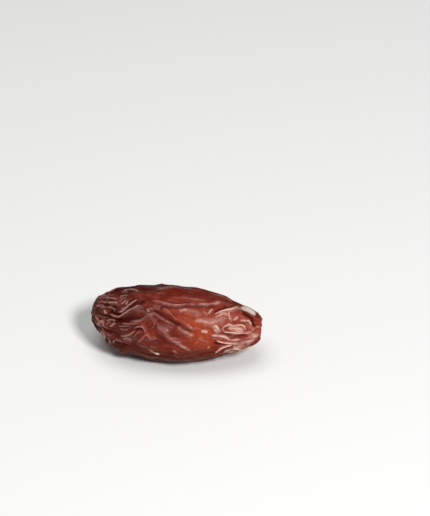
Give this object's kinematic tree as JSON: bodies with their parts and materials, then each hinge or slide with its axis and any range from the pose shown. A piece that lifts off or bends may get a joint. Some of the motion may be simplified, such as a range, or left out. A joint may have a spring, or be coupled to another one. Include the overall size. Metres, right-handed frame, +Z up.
{
  "type": "medjool date",
  "caption": "Whole soft date fruit with lengthwise wrinkled skin and a blunt stem end, lying on its belly.",
  "frame": {"origin": "on the resting plane, under the middle of the date's box", "axes": "+X along the date towards its blunt stem end, -Y towards the side that faces the picture's camera, +Z up"},
  "size_m": [0.0508, 0.0246, 0.0221],
  "materials": {
    "date_skin": "waxy wrinkled fruit skin, semi-gloss"
  },
  "bodies": {
    "root": {"date": "date_skin"}
  },
  "joints": []
}
